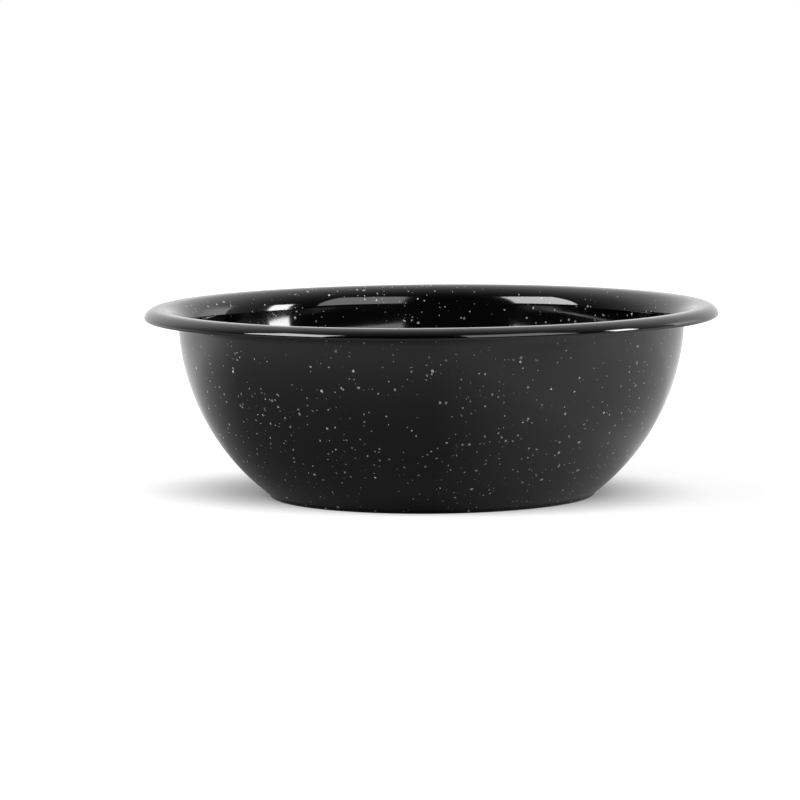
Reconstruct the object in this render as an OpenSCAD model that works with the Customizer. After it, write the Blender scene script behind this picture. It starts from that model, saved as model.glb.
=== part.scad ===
// Enamel basin bowl: a pressed steel bowl with a turned-down rim, coated in speckled black enamel.
// Sizes are in millimetres. The bowl stands on z = 0 and its axis is the z axis.
// The section follows the outside face from the axis to the edge of the rim, in arcs joined by straight lines.
// Every layer is the band between that face at two depths, and the enamel goes round the edge of the sheet.

/* [Bowl] */
// Outside diameter of the wall, level with the underside of the rim
mouth_d = 220.6; // [186:0.2:290]
// Height from the table to the top of the rim
bowl_h = 83; // [66:0.1:115]
// Radius of the wall's curve, seen in section
wall_r = 98; // [78:1:150]

/* [Foot] */
// Diameter where the wall meets the foot
foot_d = 143.6; // [112:0.2:172]
// Height of the foot below the wall
foot_h = 1.8; // [1.5:0.1:4]
// Lean of the foot's side, away from upright, in degrees
foot_lean = 34; // [24:1:40]
// Radius of the bottom edge of the foot
foot_edge_r = 1.8; // [1.5:0.1:2.4]
// Radius of the hollow bend between the foot and the wall
foot_bend_r = 2; // [1:0.5:4]
// Width of the flat ring that the bowl stands on
ring_w = 8; // [4:0.5:20]
// Depth of the pressed recess in the middle of the base
recess_h = 0.8; // [0.4:0.1:3]
// Radius of the two bends at the edge of the recess
recess_bend_r = 3; // [2:0.5:8]

/* [Rim] */
// How far the rim stands out from the mouth of the wall
lip_w = 14.7; // [12.6:0.1:24]
// Slope of the lip, rising outward, in degrees
lip_rise = 1; // [0:1:20]
// Radius of the bend under the lip
neck_r = 7.5; // [3:0.5:9]
// Radius of the rounded top of the rim
crown_r = 5.5; // [3.5:0.5:6.5]
// Angle that the rounded top turns through, in degrees
crown_turn = 60; // [40:1:70]
// Radius of the tighter bend at the outside of the rim
rim_r = 2.2; // [1.8:0.1:3.5]
// Angle that the rim is turned down through in all, in degrees
rim_turn = 110; // [80:1:150]

/* [Layers] */
// Thickness of the steel sheet
sheet_t = 0.6; // [0.5:0.05:0.9]
// Thickness of the ground coat on each face of the steel
ground_t = 0.15; // [0.12:0.01:0.2]
// Thickness of the cover coat on each ground coat
cover_t = 0.25; // [0.2:0.01:0.3]

/* [Flecks] */
// Width of the patches of enamel that hold one fleck at most
fleck_pitch = 18; // [12:1:30]
// Share of the patches that hold a fleck
fleck_share = 0.55; // [0.1:0.05:1]
// Diameter of the smallest fleck
fleck_small_d = 0.6; // [0.4:0.05:0.9]
// Diameter of the largest fleck
fleck_large_d = 1.4; // [1:0.1:2]
// Height that a fleck stands above the cover coat
fleck_t = 0.06; // [0.05:0.01:0.1]
// Seed that sets where the flecks fall
fleck_seed = 7; // [1:1:99]

/* [Hidden] */
$fn = 96;

// Depths of the layers behind the outside face
coat_t = ground_t + cover_t;
steel_far = coat_t + sheet_t;
ground_far = steel_far + ground_t;
wall_t = steel_far + coat_t;

// Radii of the layers round the edge of the sheet
steel_edge_r = sheet_t / 2;
ground_edge_r = steel_edge_r + ground_t;

// Directions in the section, in degrees from outward
flank_a = 90 - foot_lean;
recess_a = acos(1 - recess_h / (2 * recess_bend_r));

// The rim, its crown and the end of the lip
crown_a = lip_rise + 90 - crown_turn;
rim_c = [mouth_d / 2 + lip_w - rim_r, bowl_h - crown_r + (crown_r - rim_r) * sin(crown_a)];
crown_c = rim_c - (crown_r - rim_r) * unit(crown_a);
lip_end = crown_c + (crown_r - wall_t) * left_of(lip_rise);
edge_a = lip_rise + 90 - rim_turn;
edge_c = rim_c + (rim_r - wall_t / 2) * unit(edge_a);

// The wall's curve, through the top of the foot and the mouth
foot_top = [foot_d / 2, foot_h];
mouth = [mouth_d / 2, rim_c.y - wall_t / 2];
chord = mouth - foot_top;
wall_c = (foot_top + mouth) / 2 + sqrt(wall_r * wall_r - chord * chord / 4) * left_of(angle_of(chord));

// The bends that join the wall to the foot and to the lip
foot_bend_c = bend_centre(foot_top, flank_a, foot_bend_r, -1);
neck_c = bend_centre(lip_end, lip_rise, neck_r, 1);
wall_from = angle_of(foot_bend_c - wall_c);
wall_to = angle_of(neck_c - wall_c);

// The base ring and its recess
foot_edge_x = foot_top.x - foot_h * tan(foot_lean) - foot_edge_r * tan(flank_a / 2);
ring_in = foot_edge_x - ring_w;
recess_edge = ring_in - 2 * recess_bend_r * sin(recess_a);

// The lip, from the end of the neck bend to the rim
lip_start = neck_c + neck_r * left_of(lip_rise);
lip_len = norm(lip_end - lip_start);

// The arcs of the outside face, each a centre, a radius, a start angle and an end angle
recess_fall = [[recess_edge, recess_h - recess_bend_r], recess_bend_r, 90, 90 - recess_a];
recess_land = [[ring_in, recess_bend_r], recess_bend_r, -90 - recess_a, -90];
foot_edge = [[foot_edge_x, foot_edge_r], foot_edge_r, -90, flank_a - 90];
foot_bend = [foot_bend_c, foot_bend_r, flank_a + 90, wall_from + 180];
wall = [wall_c, wall_r, wall_from, wall_to];
neck = [neck_c, neck_r, wall_to + 180, lip_rise + 90];
crown = [crown_c, crown_r - wall_t, lip_rise + 90, crown_a];
rim = [rim_c, rim_r - wall_t, crown_a, edge_a];

// How far an arc may stand off its straight pieces, and the steps round the edge of the sheet
arc_off = 0.008;
edge_steps = 12;

// Faces that carry flecks, and the lift that keeps a fleck from cutting into its coat
base_reach = recess_edge - wall_t;
lip_top = lip_start + wall_t * left_of(lip_rise);
wall_turn = (wall_to - wall_from) * PI / 180;
fleck_gap = arc_off + pow(fleck_large_d / 2, 2) / wall_r;

function unit(a) = [cos(a), sin(a)];
function left_of(a) = [-sin(a), cos(a)];
function angle_of(v) = atan2(v.y, v.x);

// Centre of a bend of radius r that touches the wall's curve and the right of a line
function bend_centre(point, a, r, side) =
    let (start = point - r * left_of(a),
         from_wall = start - wall_c,
         along = from_wall * unit(a),
         reach = wall_r + r)
    start + (side * sqrt(along * along - from_wall * from_wall + reach * reach) - along) * unit(a);

// Points of one arc at a depth behind it, with as many steps at every depth
// An arc that goes straight on from the one before it leaves out its first point
function arc_points(arc, depth, first = 0) =
    let (turn = arc[3] - arc[2],
         steps = ceil(abs(turn) / (2 * acos(1 - arc_off / arc[1]))))
    [for (k = [first : steps]) arc[0] + (arc[1] - sign(turn) * depth) * unit(arc[2] + turn * k / steps)];

// Points of the outside face at a depth, from the axis to the start of the lip
function bowl_face(depth) = concat(
    [[0, recess_h + depth]],
    arc_points(recess_fall, depth),
    arc_points(recess_land, depth, 1),
    arc_points(foot_edge, depth),
    arc_points(foot_bend, depth),
    arc_points(wall, depth, 1),
    arc_points(neck, depth, 1));

// Points of the crown and the rim at a depth
function rim_face(depth) = concat(arc_points(crown, depth), arc_points(rim, depth, 1));

// The face from the axis to the end of the rim
function face(depth) = concat(bowl_face(depth), rim_face(depth));

// The point where the rim ends, at a depth
function rim_end(depth) = rim_c + (rim_r - wall_t + depth) * unit(edge_a);

// Points round the edge of the sheet at a radius, from the top of the rim to its underside
function edge_points(radius) =
    [for (k = [1 : edge_steps - 1]) edge_c + radius * unit(edge_a - 180 * k / edge_steps)];

// The same points in the other order
function back(points) = [for (k = [len(points) - 1 : -1 : 0]) points[k]];

// Skewed sizes, so that small flecks are common and large ones rare
function fleck_d(u) = fleck_small_d + (fleck_large_d - fleck_small_d) * u * u * u;

// The point of a face at a distance along it, and the direction that it faces
function on_wall(radius, s, flip) =
    let (a = wall_from + s / radius * 180 / PI)
    [wall_c + radius * unit(a), a + flip];
function spot(face, s) =
    face == "outside" ? on_wall(wall_r, s, 0) :
    face == "inside" ? on_wall(wall_r - wall_t, s, 180) :
    face == "base" ? [[s, recess_h + wall_t], 90] :
    [lip_top + s * unit(lip_rise), lip_rise + 90];

// One fleck at a spot of a face, turned round the axis
module fleck(spot, turn, d) {
    rotate([0, 0, turn]) translate([spot[0].x, 0, spot[0].y]) rotate([0, 90 - spot[1], 0])
        translate([0, 0, fleck_gap]) cylinder(d = d, h = fleck_t, $fn = 24);
}

// Flecks over a face, in rows of patches round the axis, each fleck anywhere inside its patch
module flecks(face, length, seed) {
    rows = max(1, floor(length / fleck_pitch));
    row_w = length / rows;
    for (row = [0 : rows - 1]) {
        round_len = 2 * PI * spot(face, (row + 0.5) * row_w)[0].x;
        patches = floor(round_len / fleck_pitch);
        patch_w = round_len / patches;
        for (patch = [0 : patches - 1]) {
            dice = rands(0, 1, 4, seed + 1000 * row + patch);
            d = fleck_d(dice[0]);
            s = row * row_w + d / 2 + dice[1] * (row_w - d);
            turn = (patch * patch_w + d / 2 + dice[2] * (patch_w - d)) / round_len * 360;
            if (dice[3] < fleck_share)
                fleck(spot(face, s), turn, d);
        }
    }
}

// The pressed steel bowl with its turned-down rim
module steel_body() {
    color("#8d9094") rotate_extrude() polygon(concat(
        face(steel_far),
        edge_points(steel_edge_r),
        back(face(coat_t))));
}

// Ground enamel on the inside face, carried round the edge of the sheet
module ground_coat_inside() {
    color("#22262c") rotate_extrude() polygon(concat(
        face(ground_far),
        edge_points(ground_edge_r),
        [rim_end(cover_t), rim_end(coat_t)],
        back(edge_points(steel_edge_r)),
        back(face(steel_far))));
}

// Ground enamel on the outside face
module ground_coat_outside() {
    color("#22262c") rotate_extrude() polygon(concat(face(coat_t), back(face(cover_t))));
}

// Black cover enamel on the inside face, up to the rim
module cover_coat_inside() {
    color("#101113") rotate_extrude() polygon(concat(
        bowl_face(wall_t),
        [rim_face(wall_t)[0], rim_face(ground_far)[0]],
        back(bowl_face(ground_far))));
}

// Black cover enamel on the outside face and the base
module cover_coat_outside() {
    color("#121315") rotate_extrude() polygon(concat(face(cover_t), back(face(0))));
}

// Plain black edging over the rim and round the edge of the sheet
module rim_coat() {
    color("#0b0b0c") rotate_extrude() polygon(concat(
        rim_face(wall_t),
        edge_points(wall_t / 2),
        [rim_end(0), rim_end(cover_t)],
        back(edge_points(ground_edge_r)),
        back(rim_face(ground_far))));
}

// Pale flecks on the inside of the wall, the base and the lip
module flecks_inside() {
    color("#c9cac4") {
        flecks("inside", (wall_r - wall_t) * wall_turn, 100000 * fleck_seed);
        flecks("base", base_reach, 100000 * fleck_seed + 20000);
        flecks("lip", lip_len - fleck_large_d, 100000 * fleck_seed + 40000);
    }
}

// Pale flecks on the outside of the wall
module flecks_outside() {
    color("#c9cac4") flecks("outside", wall_r * wall_turn, 100000 * fleck_seed + 60000);
}

steel_body();
ground_coat_inside();
ground_coat_outside();
cover_coat_inside();
cover_coat_outside();
rim_coat();
flecks_inside();
flecks_outside();
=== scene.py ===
# %% [markdown]
# # A speckled enamel basin bowl
# The real bowl is one sheet of steel, pressed to shape and dipped in glass enamel that is fired onto it.
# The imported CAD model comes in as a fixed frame: every layer of the bowl is already there, in metres,
# with the bowl standing on z = 0 round the z axis. This scene adds what CAD leaves out: smooth gloss, the
# way enamel pools and waves, pale flecks, light and a camera.

# %% Load the frame
import math
import random

import bmesh
import bpy
import numpy as np
from mathutils import Matrix, Vector


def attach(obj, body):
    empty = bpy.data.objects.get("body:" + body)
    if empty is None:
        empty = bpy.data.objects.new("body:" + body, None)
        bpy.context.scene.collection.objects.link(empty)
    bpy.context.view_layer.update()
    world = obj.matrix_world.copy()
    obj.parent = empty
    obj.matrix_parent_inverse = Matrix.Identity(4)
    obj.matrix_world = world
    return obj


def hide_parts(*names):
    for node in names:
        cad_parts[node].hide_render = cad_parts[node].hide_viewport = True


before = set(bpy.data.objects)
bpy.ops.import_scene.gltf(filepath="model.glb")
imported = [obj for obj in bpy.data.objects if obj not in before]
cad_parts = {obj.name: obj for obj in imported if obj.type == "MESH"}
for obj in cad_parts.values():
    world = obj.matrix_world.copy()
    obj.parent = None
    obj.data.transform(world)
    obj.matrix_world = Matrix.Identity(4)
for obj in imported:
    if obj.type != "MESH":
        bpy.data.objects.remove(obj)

MM = 0.001
scene = bpy.context.scene
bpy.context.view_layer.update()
print("CAD nodes:", ", ".join(sorted(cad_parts)))

# %% [markdown]
# ## The section of the bowl
# A turned shape is drawn once, as a section, and spun. From the axis outward this bowl has a shallow
# recess, a flat ring to stand on, a small foot, the wall, a neck that bends out to the lip, a rounded
# crown, and a tighter bend that turns the rim down. The section could be traced as a long row of points,
# but arcs that run into each other need only a few sizes and stay smooth with any number of steps. The
# sizes are the ones of the CAD source, in millimetres and degrees, so the new skins land exactly on the
# nodes that they replace.

# %% Sizes of the section
# Bowl
mouth_d = 220.6
bowl_h = 83.0
wall_r = 98.0

# Foot and base
foot_d = 143.6
foot_h = 1.8
foot_lean = 34.0
foot_edge_r = 1.8
foot_bend_r = 2.0
ring_w = 8.0
recess_h = 0.8
recess_bend_r = 3.0

# Lip and rim
lip_w = 14.7
lip_rise = 1.0
neck_r = 7.5
crown_r = 5.5
crown_turn = 60.0
rim_r = 2.2
rim_turn = 110.0

# Layers
sheet_t = 0.6
ground_t = 0.15
cover_t = 0.25
wall_t = sheet_t + 2 * (ground_t + cover_t)
ground_far = wall_t - cover_t
print("wall with its enamel, mm:", round(wall_t, 2))


# %% Directions in the section
def towards(degrees):
    """A step of length 1 in a direction of the section, where 0 is outward and 90 is up."""
    a = math.radians(degrees)
    return Vector((math.cos(a), math.sin(a)))


def left_of(degrees):
    return towards(degrees + 90)


def angle_of(v):
    return math.degrees(math.atan2(v.y, v.x))


print("left of outward, in degrees:", round(angle_of(left_of(0))))

# %% Centres of the rim and the wall
crown_end = lip_rise + 90 - crown_turn
edge_turn = lip_rise + 90 - rim_turn
crown_in = crown_r - rim_r
rim_h = bowl_h - crown_r + crown_in * math.sin(math.radians(crown_end))
rim_c = Vector((mouth_d / 2 + lip_w - rim_r, rim_h))
crown_c = rim_c - crown_in * towards(crown_end)
lip_end = crown_c + (crown_r - wall_t) * left_of(lip_rise)
edge_c = rim_c + (rim_r - wall_t / 2) * towards(edge_turn)

foot_top = Vector((foot_d / 2, foot_h))
mouth = Vector((mouth_d / 2, rim_c.y - wall_t / 2))
chord = mouth - foot_top
chord_to_centre = math.sqrt(wall_r**2 - chord.length_squared / 4)
wall_c = (foot_top + mouth) / 2 + chord_to_centre * left_of(angle_of(chord))
print("centre of the wall's curve, mm:", [round(v, 1) for v in wall_c])


# %% Bends that touch the wall
def bend_centre(point, degrees, radius, side):
    """Centre of a bend that touches the wall's curve and runs along a line through the point."""
    start = point - radius * left_of(degrees)
    away = start - wall_c
    along = away.dot(towards(degrees))
    reach = math.sqrt(along**2 - away.length_squared + (wall_r + radius) ** 2)
    return start + (side * reach - along) * towards(degrees)


flank = 90 - foot_lean
foot_bend_c = bend_centre(foot_top, flank, foot_bend_r, -1)
neck_c = bend_centre(lip_end, lip_rise, neck_r, 1)
wall_from = angle_of(foot_bend_c - wall_c)
wall_to = angle_of(neck_c - wall_c)
print("the wall turns through, in degrees:", round(wall_to - wall_from, 1))

# %% All the arcs
recess_turn = math.degrees(math.acos(1 - recess_h / (2 * recess_bend_r)))
foot_in = foot_h * math.tan(math.radians(foot_lean))
foot_edge_in = foot_edge_r * math.tan(math.radians(flank / 2))
ring_out = foot_top.x - foot_in - foot_edge_in
ring_in = ring_out - ring_w
recess_edge = ring_in - 2 * recess_bend_r * math.sin(math.radians(recess_turn))

# Each arc is a centre, a radius, a start angle, an end angle and a number of steps.
bowl_arcs = [
    (Vector((recess_edge, recess_h - recess_bend_r)), recess_bend_r, 90, 90 - recess_turn, 6),
    (Vector((ring_in, recess_bend_r)), recess_bend_r, -90 - recess_turn, -90, 6),
    (Vector((ring_out, foot_edge_r)), foot_edge_r, -90, flank - 90, 8),
    (foot_bend_c, foot_bend_r, flank + 90, wall_from + 180, 5),
    (wall_c, wall_r, wall_from, wall_to, 36),
    (neck_c, neck_r, wall_to + 180, lip_rise + 90, 18),
]
rim_arcs = [
    (crown_c, crown_r - wall_t, lip_rise + 90, crown_end, 14),
    (rim_c, rim_r - wall_t, crown_end, edge_turn, 12),
]
all_arcs = bowl_arcs + rim_arcs
print("arcs in the section:", len(all_arcs))

# %% [markdown]
# ## Turning a skin
# A layer of enamel is a thin skin of even thickness. A Solidify modifier could give a sheet its
# thickness, but a skin here has to fit between two others, so both of its faces are drawn: out along one
# depth of the section and back along another. bmesh's spin does both jobs of a lathe. Spun about a point
# of the section, one vertex leaves an arc behind it. Spun about the z axis, the finished outline leaves a
# closed solid behind it. Doubles are merged before the normals are recalculated, because the spin leaves
# a seam and two poles.


# %% Arcs at a depth
def at_depth(arcs, depth):
    """The arcs at a depth behind the outside face. A bend to the right grows and one to the left shrinks."""
    return [(c, r + depth if end < start else r - depth, start, end, n) for c, r, start, end, n in arcs]


def backward(arcs):
    return [(c, r, end, start, n) for c, r, start, end, n in reversed(arcs)]


print("radii at the inside face, mm:", [round(r, 2) for c, r, start, end, n in at_depth(all_arcs, wall_t)])

# %% Draw an outline
SAME_PLACE = 1e-7


def in_section(point):
    """A point of the section as a place in the scene, in metres."""
    return Vector((point.x, 0, point.y)) * MM


def line_to(bm, vert, point):
    """Extrude one vertex along a straight line to a point of the section."""
    if (in_section(point) - vert.co).length < SAME_PLACE:
        return vert
    new = bmesh.ops.extrude_vert_indiv(bm, verts=[vert])["verts"][0]
    new.co = in_section(point)
    return new


def arc_on(bm, vert, arc):
    """Go straight to where an arc starts, then spin the vertex along it."""
    centre, radius, start, end, steps = arc
    vert = line_to(bm, vert, centre + radius * towards(start))
    made = bmesh.ops.spin(
        bm, geom=[vert], cent=in_section(centre), axis=(0, -1, 0),
        angle=math.radians(end - start), steps=steps,
    )
    return [v for v in made["geom_last"] if isinstance(v, bmesh.types.BMVert)][0]


print("an outline is drawn in metres; one millimetre is", in_section(Vector((1, 0))).x)

# %% Turn an outline
ROUND_STEPS = 192
SHARP_FROM = math.radians(40)


def piece_from(bm, name):
    """Shade a bmesh smooth and put it into the scene as a new piece."""
    for face in bm.faces:
        face.smooth = True
    mesh = bpy.data.meshes.new(name)
    bm.to_mesh(mesh)
    bm.free()
    piece = bpy.data.objects.new(name, mesh)
    scene.collection.objects.link(piece)
    return piece


def turned(name, outline):
    """A closed solid turned from an outline of arcs, and of points that straight lines lead to."""
    bm = bmesh.new()
    vert = bm.verts.new(in_section(outline[0]))
    for step in outline[1:]:
        draw = line_to if isinstance(step, Vector) else arc_on
        vert = draw(bm, vert, step)
    bmesh.ops.remove_doubles(bm, verts=bm.verts, dist=SAME_PLACE)
    bmesh.ops.spin(
        bm, geom=bm.verts[:] + bm.edges[:], cent=(0, 0, 0), axis=(0, 0, 1),
        angle=2 * math.pi, steps=ROUND_STEPS, use_merge=True,
    )
    bmesh.ops.remove_doubles(bm, verts=bm.verts, dist=SAME_PLACE)
    bmesh.ops.recalc_face_normals(bm, faces=bm.faces)
    for edge in bm.edges:
        edge.smooth = edge.calc_face_angle(0) < SHARP_FROM
    open_edges = sum(not edge.is_manifold for edge in bm.edges)
    piece = piece_from(bm, name)
    print(f"{name}: {len(piece.data.polygons)} faces, {open_edges} open edges")
    return piece


print("steps round the bowl:", ROUND_STEPS)

# %% [markdown]
# ## Three skins of black enamel
# The cover coat is the glass that is seen: one skin inside, one outside, and a plain edging over the rim
# that hides the edge of the sheet. They could be the CAD nodes with a new material, but those are loose
# flat triangles, and flat facets show at once in a mirror-black glaze. So each is turned again at the
# same sizes.

# %% Turn the skins of the bowl
outside_skin = turned(
    "outside_skin",
    [
        Vector((0, recess_h)),
        *all_arcs,
        *backward(at_depth(all_arcs, cover_t)),
        Vector((0, recess_h + cover_t)),
    ],
)
lip_top = crown_c + crown_r * left_of(lip_rise)
lip_under = crown_c + (crown_r - cover_t) * left_of(lip_rise)
inside_skin = turned(
    "inside_skin",
    [
        Vector((0, recess_h + wall_t)),
        *at_depth(bowl_arcs, wall_t),
        lip_top,
        lip_under,
        *backward(at_depth(bowl_arcs, ground_far)),
        Vector((0, recess_h + ground_far)),
    ],
)

# %% Turn the edging of the rim
EDGE_STEPS = 10
rim_edging = turned(
    "rim_edging",
    [
        lip_top,
        *at_depth(rim_arcs, wall_t),
        (edge_c, wall_t / 2, edge_turn, edge_turn - 180, EDGE_STEPS),
        (edge_c, wall_t / 2 - cover_t, edge_turn - 180, edge_turn, EDGE_STEPS),
        *backward(at_depth(rim_arcs, ground_far)),
        lip_top,
    ],
)

# %% Put the skins in the places of their CAD nodes
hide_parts("cover_coat_outside")
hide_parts("cover_coat_inside")
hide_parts("rim_coat")
for skin, slot in (
    (outside_skin, "black_enamel"),
    (inside_skin, "black_enamel"),
    (rim_edging, "rim_enamel"),
):
    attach(skin, "root")
    print(skin.name, "takes the slot", slot)

# %% [markdown]
# ## Flecks
# The larger pale flecks are drops of a second enamel that were flicked on before firing. They melt into
# low uneven pads. In the CAD model each is a thin disc. Here a small frustum with a poked top stands in
# the same place: about twenty faces each is enough at this size. The place, width and facing of a fleck
# are read from its disc: the thin direction of the disc is the direction that it faces.

# %% Find the discs of a CAD node
DISC_SAME_PLACE = 1e-6


def island_of(first, seen):
    """Places of all the vertices that are joined to the first one."""
    island, queue = [], [first]
    seen.add(first)
    while queue:
        vert = queue.pop()
        island.append(vert.co[:])
        for edge in vert.link_edges:
            other = edge.other_vert(vert)
            if other not in seen:
                seen.add(other)
                queue.append(other)
    return np.array(island)


def discs_of(node):
    """Centre, facing and width of each separate disc of a fleck node."""
    bm = bmesh.new()
    bm.from_mesh(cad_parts[node].data)
    bmesh.ops.remove_doubles(bm, verts=bm.verts, dist=DISC_SAME_PLACE)
    seen, discs = set(), []
    for first in bm.verts:
        if first in seen:
            continue
        points = island_of(first, seen)
        centre = points.mean(axis=0)
        facing = np.linalg.svd(points - centre)[2][2]
        width = 2 * np.linalg.norm(points - centre, axis=1).max()
        discs.append((Vector(centre), Vector(facing), float(width)))
    bm.free()
    return discs


discs_inside = discs_of("flecks_inside")
discs_outside = discs_of("flecks_outside")
for discs in (discs_inside, discs_outside):
    widths = [width / MM for centre, facing, width in discs]
    print(f"{len(discs)} discs, {min(widths):.2f} to {max(widths):.2f} mm wide")

# %% Shape one drop
# The top and the tip are shares of the width and the height, and the turn is in radians.
DROP_SIDES = 9
DROP_H = 0.05 * MM
DROP_TOP = 0.36
DROP_TIP = 0.2
UNEVEN = (0.8, 1.12)
STRETCH = (0.75, 1.2)
ANY_TURN = 6.28


def add_drop(bm, centre, facing, width, chance):
    """One low uneven pad of enamel, standing on the skin and facing a direction."""
    verts = bmesh.ops.create_cone(
        bm, cap_ends=True, segments=DROP_SIDES, radius1=width / 2, radius2=width * DROP_TOP, depth=DROP_H
    )["verts"]
    for vert in verts:
        spread = chance.uniform(*UNEVEN)
        vert.co *= Vector((spread, spread, 1))
    faces = {face for vert in verts for face in vert.link_faces}
    top = max(faces, key=lambda face: face.calc_center_median().z)
    tip = bmesh.ops.poke(bm, faces=[top], offset=DROP_H * DROP_TIP)["verts"]
    stretch = chance.uniform(*STRETCH)
    turn = Matrix.Rotation(chance.uniform(0, ANY_TURN), 4, "Z")
    shape = turn @ Matrix.Diagonal((stretch, 1 / stretch, 1, 1))
    stand = Matrix.Translation(centre) @ facing.to_track_quat("Z", "Y").to_matrix().to_4x4()
    bmesh.ops.transform(bm, matrix=stand @ shape, verts=verts + tip)


print("a drop is", round(DROP_H / MM, 2), "mm high")

# %% Make the drops
# A drop on the inside faces a place over the middle of the bowl, this far above the drop.
ABOVE = 0.2


def drops(name, node, discs, outward):
    """All the flecks of one CAD node as one piece."""
    chance = random.Random(name)
    bm = bmesh.new()
    for centre, facing, width in discs:
        away = Vector((centre.x, centre.y, 0)) if outward else Vector((-centre.x, -centre.y, ABOVE))
        if facing.dot(away) < 0:
            facing = -facing
        add_drop(bm, centre, facing, width, chance)
    bmesh.ops.recalc_face_normals(bm, faces=bm.faces)
    piece = piece_from(bm, name)
    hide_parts(node)
    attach(piece, "root")
    print(f"{name}: {len(piece.data.polygons)} faces")
    return piece


drops_inside = drops("drops_inside", "flecks_inside", discs_inside, False)
drops_outside = drops("drops_outside", "flecks_outside", discs_outside, True)

# %% [markdown]
# ## Node helpers
# Every finish below is built from shader nodes. Wired by hand, each node takes several lines, so a few
# short helpers keep the cells readable. All of them take a plain number or the output of another node
# alike.


# %% Add one node
def feed(tree, socket, value):
    """Link a socket to the output of another node, or type a plain value into it."""
    if isinstance(value, bpy.types.NodeSocket):
        tree.links.new(value, socket)
    else:
        socket.default_value = value


def add(tree, kind, **inputs):
    """A node with some inputs fed by name. An underscore stands for a space in the name."""
    node = tree.nodes.new(kind)
    for name, value in inputs.items():
        feed(tree, node.inputs[name.replace("_", " ")], value)
    return node


def maths(tree, operation, *values, kind="ShaderNodeMath"):
    """The outputs of a Math node, or of a Vector Math node."""
    node = tree.nodes.new(kind)
    node.operation = operation
    for socket, value in zip(node.inputs, values):
        feed(tree, socket, value)
    return node.outputs


def reckon(tree, operation, *values):
    return maths(tree, operation, *values)["Value"]


print("helpers for one node: add, maths and reckon")

# %% Ramps and mixes
# The Mix node has a set of sockets for each kind of data. These are the places of its colour sockets.
MIX_FIRST, MIX_SECOND, MIX_RESULT = 6, 7, 2


def ramp(tree, value, start, stop, low=0.0, high=1.0, curve="LINEAR"):
    """A number that goes from low to high while a value goes from start to stop."""
    node = add(
        tree, "ShaderNodeMapRange", Value=value, From_Min=start, From_Max=stop, To_Min=low, To_Max=high
    )
    node.interpolation_type = curve
    return node.outputs[0]


def between(tree, factor, first, second):
    """A number between two others."""
    return add(tree, "ShaderNodeMix", Factor=factor, A=first, B=second).outputs[0]


def mixed(tree, factor, first, second):
    """A colour between two others."""
    node = tree.nodes.new("ShaderNodeMix")
    node.data_type = "RGBA"
    feed(tree, node.inputs["Factor"], factor)
    feed(tree, node.inputs[MIX_FIRST], first)
    feed(tree, node.inputs[MIX_SECOND], second)
    return node.outputs[MIX_RESULT]


print("helpers for values: ramp, between and mixed")


# %% Start materials and groups
def new_material(name):
    """A material with an empty tree, its Principled shader and the Object coordinates."""
    material = bpy.data.materials.new(name)
    material.use_nodes = True
    tree = material.node_tree
    tree.nodes.clear()
    shader = tree.nodes.new("ShaderNodeBsdfPrincipled")
    add(tree, "ShaderNodeOutputMaterial", Surface=shader.outputs[0])
    place = tree.nodes.new("ShaderNodeTexCoord").outputs["Object"]
    return material, tree, shader, place


def new_group(name, inputs, outputs):
    """A node group that takes a place and some numbers, and puts out numbers."""
    group = bpy.data.node_groups.new(name, "ShaderNodeTree")
    group.interface.new_socket("Place", in_out="INPUT", socket_type="NodeSocketVector")
    for socket, value in inputs.items():
        made = group.interface.new_socket(socket, in_out="INPUT", socket_type="NodeSocketFloat")
        made.default_value = value
    for socket in outputs:
        group.interface.new_socket(socket, in_out="OUTPUT", socket_type="NodeSocketFloat")
    return group, group.nodes.new("NodeGroupInput").outputs, group.nodes.new("NodeGroupOutput").inputs


def place_group(tree, group, **inputs):
    """The outputs of a group that is placed in a material with its own values."""
    node = tree.nodes.new("ShaderNodeGroup")
    node.node_tree = group
    for name, value in inputs.items():
        feed(tree, node.inputs[name], value)
    return node.outputs


print("helpers for finishes: new_material, new_group and place_group")

# %% [markdown]
# ## Fine flecks, shared by the skins
# Most flecks on the real bowl are dust, well under a millimetre. They are too many to model, so they are
# painted: a 3-D Voronoi texture puts a point in each small cell, and the surface is pale where it passes
# close to one. A random number for each cell picks which points count, how wide they are and how bright,
# and a slow noise gathers them in loose clusters. A fast noise pushes the place about, which makes the
# edges ragged.

# %% Group: fine flecks
# A grain is a number of waves to the metre, and the shift is in metres. The rest are shares.
RAGGED_GRAIN, RAGGED_SHIFT = 1100.0, 0.0009
CLUSTER_GRAIN, CLUSTER_GAIN, CLUSTER_BASE = 28.0, 4.0, -1.2
WIDTH_SPREAD, WIDTH_LEAST = 0.8, 0.5
SHADE_SPREAD, SHADE_LEAST = 0.75, 0.25
SOFT_EDGE = 0.35

tree, given, result = new_group(
    "fine_flecks", {"Spacing": 0.004, "Width": 0.0006, "Share": 0.5}, ["Mask", "Shade"]
)
flecks_group = tree
ragged = add(tree, "ShaderNodeTexNoise", Vector=given["Place"], Scale=RAGGED_GRAIN, Detail=1.0)
shift = maths(tree, "MULTIPLY", ragged.outputs["Color"], (RAGGED_SHIFT,) * 3, kind="ShaderNodeVectorMath")
moved = maths(tree, "ADD", given["Place"], shift["Vector"], kind="ShaderNodeVectorMath")
fineness = reckon(tree, "DIVIDE", 1.0, given["Spacing"])
cells = add(tree, "ShaderNodeTexVoronoi", Vector=moved["Vector"], Scale=fineness).outputs
dice = add(tree, "ShaderNodeSeparateColor", Color=cells["Color"]).outputs

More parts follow.
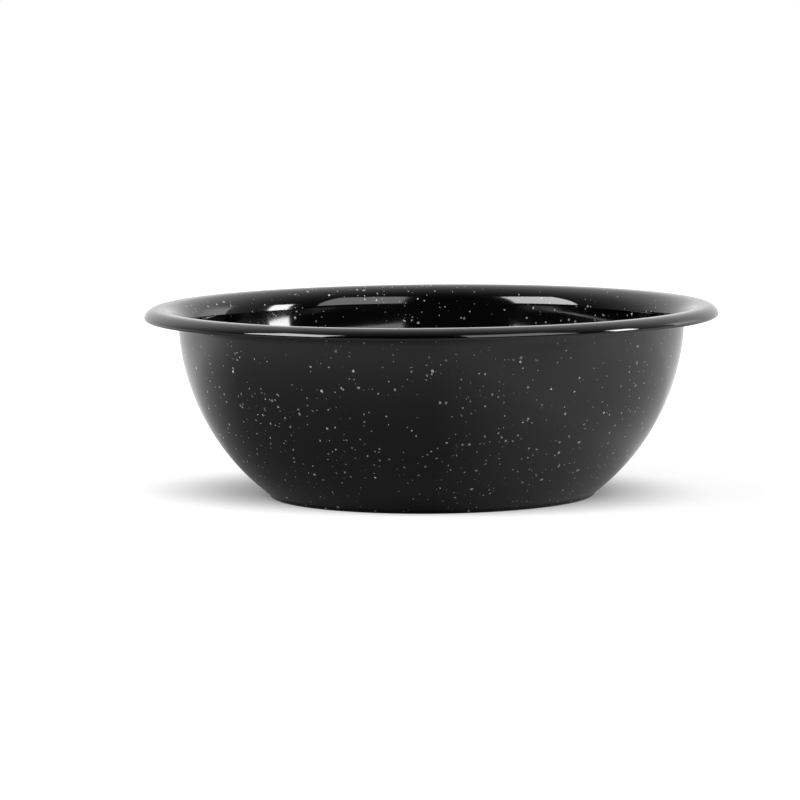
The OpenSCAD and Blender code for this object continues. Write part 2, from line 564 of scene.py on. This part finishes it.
clusters = add(tree, "ShaderNodeTexNoise", Vector=given["Place"], Scale=CLUSTER_GRAIN, Detail=2.0)
crowding = reckon(tree, "MULTIPLY_ADD", clusters.outputs[0], CLUSTER_GAIN, CLUSTER_BASE)
chosen = reckon(tree, "LESS_THAN", dice["Red"], reckon(tree, "MULTIPLY", given["Share"], crowding))
half_width = reckon(tree, "DIVIDE", given["Width"], reckon(tree, "MULTIPLY", given["Spacing"], 2.0))
wider = reckon(tree, "MULTIPLY_ADD", dice["Green"], WIDTH_SPREAD, WIDTH_LEAST)
radius = reckon(tree, "MULTIPLY", half_width, wider)
inward = reckon(tree, "SUBTRACT", radius, cells["Distance"])
edge = reckon(tree, "DIVIDE", inward, reckon(tree, "MULTIPLY", radius, SOFT_EDGE))
spot = reckon(tree, "MINIMUM", reckon(tree, "MAXIMUM", edge, 0.0), 1.0)
feed(tree, result["Mask"], reckon(tree, "MULTIPLY", spot, chosen))
feed(tree, result["Shade"], reckon(tree, "MULTIPLY_ADD", dice["Blue"], SHADE_SPREAD, SHADE_LEAST))
print("fine_flecks puts out:", result.keys()[:2])

# %% [markdown]
# ## The glaze itself, shared by every enamel
# Fired enamel is never dead flat. It has a very slight wave, like orange peel, and its gloss drifts a
# little where it was handled. One group gives both: a height for a Bump node and a roughness between two
# values. The waves could be modelled, but they are far lower than the enamel is thick, and a bump shows
# them well enough.

# %% Group: glaze
DRIFT_GRAIN = 22.0
tree, given, result = new_group(
    "glaze", {"Wave": 0.006, "Smoothest": 0.05, "Dullest": 0.12}, ["Height", "Roughness"]
)
glaze_group = tree
ripple = reckon(tree, "DIVIDE", 1.0, given["Wave"])
waves = add(tree, "ShaderNodeTexNoise", Vector=given["Place"], Scale=ripple, Detail=1.0)
drift = add(tree, "ShaderNodeTexNoise", Vector=given["Place"], Scale=DRIFT_GRAIN, Detail=4.0)
level = ramp(tree, drift.outputs[0], start=0.35, stop=0.65, low=given["Smoothest"], high=given["Dullest"])
feed(tree, result["Height"], waves.outputs[0])
feed(tree, result["Roughness"], level)
print("glaze puts out:", result.keys()[:2])


# %% Lay the glaze on a material
BUMP_STRENGTH = 0.25


def glaze_on(tree, shader, place, wave, smoothest, dullest, depth):
    """Wire the glaze group into a shader's roughness and bump. The wave and the depth are in metres."""
    glaze = place_group(tree, glaze_group, Place=place, Wave=wave, Smoothest=smoothest, Dullest=dullest)
    bump = add(tree, "ShaderNodeBump", Strength=BUMP_STRENGTH, Distance=depth, Height=glaze["Height"])
    feed(tree, shader.inputs["Roughness"], glaze["Roughness"])
    feed(tree, shader.inputs["Normal"], bump.outputs[0])


print("bump strength of every glaze:", BUMP_STRENGTH)

# %% [markdown]
# ## Black enamel
# The black of each skin is nearly no colour at all: what is seen is reflection. The base colour carries
# the fine flecks, and the Principled shader's own gloss does the rest. The flecks come in two layers, one
# coarser and one finer, because one Voronoi texture alone looks too evenly spaced. The edging has hardly
# any.

# %% Black enamel materials
FINE_FLECK = (0.41, 0.41, 0.40, 1)


def black_enamel(name, black, layers, smoothest, dullest):
    """Black glaze with layers of fine flecks, each a spacing, a width and a share."""
    material, tree, shader, place = new_material(name)
    colour = (*black, 1)
    for spacing, width, share in layers:
        fine = place_group(tree, flecks_group, Place=place, Spacing=spacing, Width=width, Share=share)
        colour = mixed(tree, reckon(tree, "MULTIPLY", fine["Mask"], fine["Shade"]), colour, FINE_FLECK)
    feed(tree, shader.inputs["Base Color"], colour)
    glaze_on(tree, shader, place, wave=0.007, smoothest=smoothest, dullest=dullest, depth=0.00002)
    return material


skin_flecks = [(0.0031, 0.00115, 0.42), (0.0020, 0.00075, 0.40)]
edging_flecks = [(0.006, 0.0006, 0.15)]
black = black_enamel("black_enamel", (0.0008, 0.0008, 0.0009), skin_flecks, smoothest=0.04, dullest=0.10)
edging = black_enamel("rim_enamel", (0.0006, 0.0006, 0.0007), edging_flecks, smoothest=0.05, dullest=0.09)
for skin, material in ((outside_skin, black), (inside_skin, black), (rim_edging, edging)):
    skin.data.materials.append(material)
    print(material.name, "on", skin.name)

# %% [markdown]
# ## Pale enamel, ground coat and steel
# The drops take a pale grey that differs a little from drop to drop. The ground coat and the steel are
# sealed inside, but a library part may be cut open or shown in layers, so they get real finishes too: a
# dark blue-grey glass full of tiny bubbles, and rolled sheet with a fine grain.

# %% Pale enamel for the drops
pale, tree, shader, place = new_material("pale_enamel")
patches = add(tree, "ShaderNodeTexVoronoi", Vector=place, Scale=160.0)
dice = add(tree, "ShaderNodeSeparateColor", Color=patches.outputs["Color"]).outputs
tint = mixed(tree, dice["Red"], (0.28, 0.28, 0.27, 1), (0.54, 0.54, 0.53, 1))
feed(tree, shader.inputs["Base Color"], tint)
glaze_on(tree, shader, place, wave=0.0008, smoothest=0.08, dullest=0.2, depth=0.00001)
for piece in (drops_inside, drops_outside):
    piece.data.materials.append(pale)
    print(pale.name, "on", piece.name)

# %% Ground coat
ground, tree, shader, place = new_material("ground_enamel")
bubbles = add(tree, "ShaderNodeTexVoronoi", Vector=place, Scale=2200.0)
mottle = mixed(tree, bubbles.outputs["Distance"], (0.012, 0.014, 0.018, 1), (0.026, 0.032, 0.042, 1))
feed(tree, shader.inputs["Base Color"], mottle)
glaze_on(tree, shader, place, wave=0.002, smoothest=0.25, dullest=0.45, depth=0.00002)
print("material of the ground coats:", ground.name)

# %% Sheet steel
steel, tree, shader, place = new_material("sheet_steel")
shader.inputs["Metallic"].default_value = 1.0
stretched = add(tree, "ShaderNodeMapping", Vector=place, Scale=(900.0, 60.0, 60.0))
grain = add(tree, "ShaderNodeTexNoise", Vector=stretched.outputs[0], Scale=3.0, Detail=3.0)
sheen = mixed(tree, grain.outputs[0], (0.44, 0.45, 0.46, 1), (0.60, 0.61, 0.62, 1))
feed(tree, shader.inputs["Base Color"], sheen)
glaze_on(tree, shader, place, wave=0.004, smoothest=0.28, dullest=0.42, depth=0.00002)
print("material of the steel:", steel.name)

# %% Finish the hidden layers
for node, material in (
    ("ground_coat_inside", ground),
    ("ground_coat_outside", ground),
    ("steel_body", steel),
):
    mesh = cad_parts[node].data
    mesh.materials.clear()
    mesh.materials.append(material)
    print(material.name, "on", node)

# %% [markdown]
# ## A white floor
# The bowl stands on a wide pale disc. A sheet that sweeps up behind would be the studio's way, but it
# would hide the bowl from a camera at the back. Round the foot the disc is an ordinary lit surface, so
# the contact shadow stays, but its edge is painted by where the glow sets in, and in reflections the
# floor's colour is painted darker there. Further out it also glows, once for the camera and once for
# reflections, and runs into the white room with no edge to be seen; it adds no diffuse light to the
# bowl, but the glaze mirrors it. Seen from below it is clear, so that the underside of the bowl can be
# looked at.

# %% Build the floor
FLOOR_R = 2.4
bm = bmesh.new()
bmesh.ops.create_circle(bm, cap_ends=True, segments=64, radius=FLOOR_R)
bm.normal_update()
for face in bm.faces:
    if face.normal.z < 0:
        face.normal_flip()
floor = piece_from(bm, "floor")
print("floor:", len(floor.data.polygons), "face")

# %% Distance from the foot
# The foot's shadow is an oval that leans a little, so the distance is measured in a leaning, squeezed plane.
SHADOW_LEAN, SHADOW_SQUEEZE = 0.10, 1.25
SHADOW_SHIFT = (0.008, -0.019)

paper = bpy.data.materials.new("white_paper")
paper.use_nodes = True
tree = paper.node_tree
tree.nodes.clear()
place = tree.nodes.new("ShaderNodeTexCoord").outputs["Object"]
along = add(tree, "ShaderNodeSeparateXYZ", Vector=place).outputs
leaning = reckon(tree, "MULTIPLY_ADD", along["X"], SHADOW_LEAN, along["Y"])
oval_x = reckon(tree, "ADD", along["X"], SHADOW_SHIFT[0])
oval_y = reckon(tree, "MULTIPLY_ADD", leaning, SHADOW_SQUEEZE, SHADOW_SHIFT[1])
oval = add(tree, "ShaderNodeCombineXYZ", X=oval_x, Y=oval_y)
from_foot = maths(tree, "LENGTH", oval.outputs[0], kind="ShaderNodeVectorMath")["Value"]
print("shadow's oval: squeezed by", SHADOW_SQUEEZE, "and leaning by", SHADOW_LEAN)

# %% Glow of the floor
# The camera sees white all round the shadow. Reflections see the floor glow only behind the bowl and on
# its right: a painted reflection that brightens the glaze there.
CAMERA_GLOW = 0.70
rays = tree.nodes.new("ShaderNodeLightPath").outputs
mirrored = reckon(tree, "MAXIMUM", rays["Is Glossy Ray"], rays["Is Transmission Ray"])
clear = ramp(tree, from_foot, start=0.058, stop=0.135, curve="SMOOTHSTEP")
far = ramp(tree, from_foot, start=0.15, stop=0.45, high=0.4)
for_camera = reckon(tree, "MULTIPLY_ADD", clear, CAMERA_GLOW, far)

behind = ramp(tree, along["Y"], start=-0.03, stop=0.18, high=0.62)
beside = ramp(tree, along["X"], start=0.0, stop=0.11, high=0.52)
ahead = ramp(tree, along["Y"], start=-0.30, stop=-0.12, low=0.35)
on_right = reckon(tree, "MULTIPLY", beside, ahead)
for_gloss = reckon(tree, "MULTIPLY", clear, reckon(tree, "MAXIMUM", behind, on_right))

camera_glow = reckon(tree, "MULTIPLY", rays["Is Camera Ray"], for_camera)
glow = reckon(tree, "ADD", camera_glow, reckon(tree, "MULTIPLY", mirrored, for_gloss))
print("the floor's glow for the camera, near the bowl:", CAMERA_GLOW)

# %% Paint the floor
FLOOR_TONE = 0.34
# For reflections only, the floor's colour is darker near the foot: a painted shade that deepens the contact
# shadow which the glaze mirrors.
painted_contact_shade = ramp(tree, from_foot, start=0.10, stop=0.40, low=0.46)
tone = reckon(tree, "MULTIPLY", between(tree, mirrored, 1.0, painted_contact_shade), FLOOR_TONE)
grey = add(tree, "ShaderNodeCombineColor", Red=tone, Green=tone, Blue=tone)
lit = add(tree, "ShaderNodeBsdfDiffuse", Color=grey.outputs[0])
white = add(tree, "ShaderNodeEmission", Color=(1, 1, 1, 1), Strength=glow)
both = tree.nodes.new("ShaderNodeAddShader")
feed(tree, both.inputs[0], lit.outputs[0])
feed(tree, both.inputs[1], white.outputs[0])
one_way = tree.nodes.new("ShaderNodeMixShader")
feed(tree, one_way.inputs[0], tree.nodes.new("ShaderNodeNewGeometry").outputs["Backfacing"])
feed(tree, one_way.inputs[1], both.outputs[0])
feed(tree, one_way.inputs[2], tree.nodes.new("ShaderNodeBsdfTransparent").outputs[0])
add(tree, "ShaderNodeOutputMaterial", Surface=one_way.outputs[0])
floor.data.materials.append(paper)
print("floor painted with", paper.name)

# %% [markdown]
# ## Light
# Black gloss shows the studio itself. The photograph shows three lights in it: a tall soft box on the
# left, a wide dim one to the right of the camera, and a small bright one further round to the right. They
# could be glowing planes, but area lights give less noise. Each stands upright, where its reflection
# shows that it stood, and its strength is given as the brightness of its face.

# %% Soft boxes
EYE_H = 0.07


def soft_box(name, turn, low, high, width, distance, brightness):
    """An upright area light that faces the bowl's axis. turn is to the right of the camera, and low and high
    are the heights of its edges as seen from the bowl, all in degrees."""
    bottom, top = (distance * math.tan(math.radians(rise)) for rise in (low, high))
    light = bpy.data.lights.new(name, "AREA")
    light.shape = "RECTANGLE"
    light.size, light.size_y = width, top - bottom
    light.energy = brightness * math.pi * light.size * light.size_y
    lamp = bpy.data.objects.new(name, light)
    way = Vector((math.sin(math.radians(turn)), -math.cos(math.radians(turn)), 0))
    lamp.location = way * distance + Vector((0, 0, EYE_H + (bottom + top) / 2))
    lamp.rotation_mode = "QUATERNION"
    lamp.rotation_quaternion = way.to_track_quat("Z", "Y")
    lamp.visible_camera = False
    scene.collection.objects.link(lamp)
    print(f"{name}: {light.energy:.1f} W")


soft_box("left_box", turn=-59.5, low=12.6, high=49.4, width=0.81, distance=1.286, brightness=12.0)
soft_box("front_box", turn=36.0, low=12.5, high=53.5, width=1.02, distance=1.258, brightness=3.5)
soft_box("right_lamp", turn=80.0, low=3.9, high=25.1, width=0.31, distance=1.452, brightness=22.0)

# %% [markdown]
# ## The room
# Round the studio is a room that is white behind the bowl, dim over it and nearly dark behind the camera.
# The lip, seen at a low angle, mirrors the white part, and the inside of the bowl stays black. A bright
# window behind on the right whitens that edge of the bowl. A photograph of a room could stand here, but a
# few ramps on the direction of a ray are enough. The camera itself sees plain white.

# %% What the room sends out
# The backdrop leans over the bowl, and the window's directions are angles round to the right, in radians.
DIM = 0.02
BACKDROP_LEAN = 0.35
WINDOW_END = 1.17

world = bpy.data.worlds.new("room")
scene.world = world
world.use_nodes = True
tree = world.node_tree
tree.nodes.clear()
direction = tree.nodes.new("ShaderNodeTexCoord").outputs["Generated"]
axes = add(tree, "ShaderNodeSeparateXYZ", Vector=direction).outputs
over = reckon(tree, "MULTIPLY_ADD", axes["Z"], BACKDROP_LEAN, axes["Y"])
backdrop = reckon(tree, "POWER", ramp(tree, over, start=-0.55, stop=0.80), 2.0)
room_light = reckon(tree, "MULTIPLY_ADD", backdrop, 1 - DIM, DIM)

round_right = reckon(tree, "ARCTAN2", axes["X"], axes["Y"])
rising = ramp(tree, round_right, start=0.70, stop=1.13, high=2.2)
window = reckon(tree, "MULTIPLY", rising, reckon(tree, "LESS_THAN", round_right, WINDOW_END))
low_down = ramp(tree, axes["Z"], start=0.50, stop=0.30)
room_light = reckon(tree, "MULTIPLY_ADD", window, low_down, room_light)
print("darkest part of the room:", DIM)

# %% What the camera sees of it
rays = tree.nodes.new("ShaderNodeLightPath").outputs
strength = between(tree, rays["Is Camera Ray"], room_light, 1.0)
sky = add(tree, "ShaderNodeBackground", Color=(1, 1, 1, 1), Strength=strength)
add(tree, "ShaderNodeOutputWorld", Surface=sky.outputs[0])
scene.view_settings.view_transform = "Standard"
print("room:", world.name)

# %% [markdown]
# ## Camera
# The photograph looks at the bowl from a little above the table with a long lens: the rim is a thin
# ellipse. Its distance, height and lens were fitted to the outline. A lens shift could move the bowl in
# the picture, but the camera is turned instead, as one held by hand would be, until the middle of the
# base lands where it does in the photograph.

# %% Place the camera
# The distance is in metres, the sensor in millimetres, and the last three are in pixels of the photograph.
DISTANCE = 2.1
RISE = math.radians(6.865)
ROLL = math.radians(0.52)
SENSOR = 36.0
PICTURE = 800
FOCAL = 4797.0
BASE_AT = (431.9, 494.4)

camera = bpy.data.objects.new("camera", bpy.data.cameras.new("camera"))
camera.data.sensor_width = SENSOR
camera.data.lens = FOCAL / PICTURE * SENSOR
camera.data.clip_start = 0.05
camera.data.clip_end = 50
camera.location = (0, -DISTANCE * math.cos(RISE), DISTANCE * math.sin(RISE))
forward = -camera.location.normalized()
right = Vector((1, 0, 0))
up = right.cross(forward)
aim = forward * FOCAL - right * (BASE_AT[0] - PICTURE / 2) + up * (BASE_AT[1] - PICTURE / 2)
camera.rotation_mode = "QUATERNION"
camera.rotation_quaternion = aim.to_track_quat("-Z", "Y") @ Matrix.Rotation(-ROLL, 3, "Z").to_quaternion()
scene.collection.objects.link(camera)
scene.camera = camera
print("camera lens, mm:", round(camera.data.lens, 1))

# %% [markdown]
# ## Last update
# The view layer is updated once more at the end.

# %% Update the view layer
bpy.context.view_layer.update()
